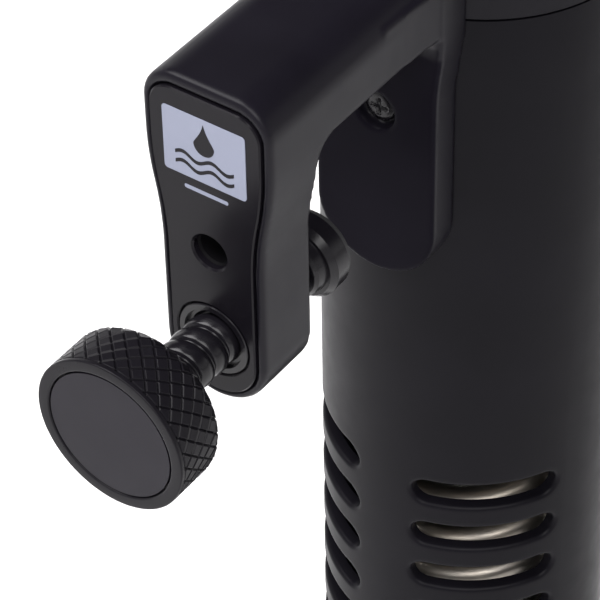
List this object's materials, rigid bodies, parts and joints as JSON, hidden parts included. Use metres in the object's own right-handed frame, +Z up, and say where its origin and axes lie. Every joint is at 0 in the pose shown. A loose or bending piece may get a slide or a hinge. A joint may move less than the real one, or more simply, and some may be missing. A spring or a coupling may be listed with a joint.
{
  "type": "sous vide circulator",
  "caption": "Stick-shaped immersion circulator with slotted sleeve, heater coil, pump, slanted control head and a screw clamp with knurled knob.",
  "frame": {"origin": "centre of the flat base under the bottom cap, on the stick's axis", "axes": "+Z up along the stick, -Y towards the clamp arm and its knob, +X to the right seen from the knob"},
  "size_m": [0.068, 0.1644, 0.3525],
  "materials": {
    "sleeve_black": "satin",
    "head_black": "satin",
    "bracket_black": "satin",
    "label_dark": "satin",
    "badge_pale": "satin",
    "screw_black": "satin",
    "knob_black": "satin",
    "disc_dark": "satin",
    "rubber_black": "matte",
    "panel_gloss": "gloss",
    "window_glass": "gloss",
    "icon_pale": "satin",
    "inner_grey": "matte",
    "pump_pale": "satin",
    "board_green": "satin",
    "coil_steel": "polished",
    "plain_steel": "brushed",
    "zinc_steel": "satin",
    "bush_brass": "satin",
    "magnet_dark": "matte"
  },
  "bodies": {
    "stick": {"tube_sleeve": "sleeve_black", "seam_ring": "inner_grey", "chassis_tube": "plain_steel", "head_shell": "head_black", "control_panel": "panel_gloss", "display_window": "window_glass", "panel_frame": "inner_grey", "display_board": "board_green", "touch_icons": "icon_pale", "cord_gland": "rubber_black", "clamp_bracket": "bracket_black", "backing_plate": "bracket_black", "label_plate": "label_dark", "badge_patch": "badge_pale", "screw_bushing": "screw_black", "spare_insert": "screw_black", "backing_screw": "screw_black", "nut_block": "zinc_steel", "root_screws": "zinc_steel", "pump_plate": "pump_pale", "shaft_bushing": "bush_brass", "stay_rods": "plain_steel", "heater_coil": "coil_steel", "heater_flange": "plain_steel", "shaft_seal": "rubber_black", "temp_probe": "plain_steel", "level_pins": "plain_steel", "heater_leads": "rubber_black", "motor_mount": "zinc_steel", "motor_case": "zinc_steel", "motor_bearings": "plain_steel", "stator_magnets": "magnet_dark", "motor_screws": "zinc_steel", "power_board": "board_green", "board_parts": "inner_grey"},
    "pad": {"pressure_pad": "screw_black", "pad_rubber": "rubber_black"},
    "knob_screw": {"clamp_screw": "screw_black", "clamp_knob": "knob_black", "knob_disc": "disc_dark"},
    "rotor": {"drive_shaft": "plain_steel", "impeller": "pump_pale", "motor_rotor": "magnet_dark", "cooling_fan": "inner_grey"},
    "cap": {"bottom_cap": "sleeve_black", "cap_seal": "rubber_black"}
  },
  "joints": [
    {"name": "pad_slide", "type": "slide", "parent": "stick", "child": "pad", "axis": [0, 1, 0], "range_m": [-0.0075, 0.012]},
    {"name": "knob_turn", "type": "hinge", "parent": "pad", "child": "knob_screw", "pos_m": [0, -0.06, 0.2113], "axis": [0, 1, 0], "range_deg": [-675, 1080]},
    {"name": "shaft_spin", "type": "hinge", "parent": "stick", "child": "rotor", "pos_m": [0, 0, 0.15], "axis": [0, 0, 1], "continuous": true},
    {"name": "cap_twist", "type": "hinge", "parent": "stick", "child": "cap", "pos_m": [0, 0, 0.02], "axis": [0, 0, 1], "range_deg": [0, 20]}
  ],
  "couplings": [
    {"joint": "pad_slide", "follows": "knob_turn", "m_per_rad": 0.0006366}
  ]
}
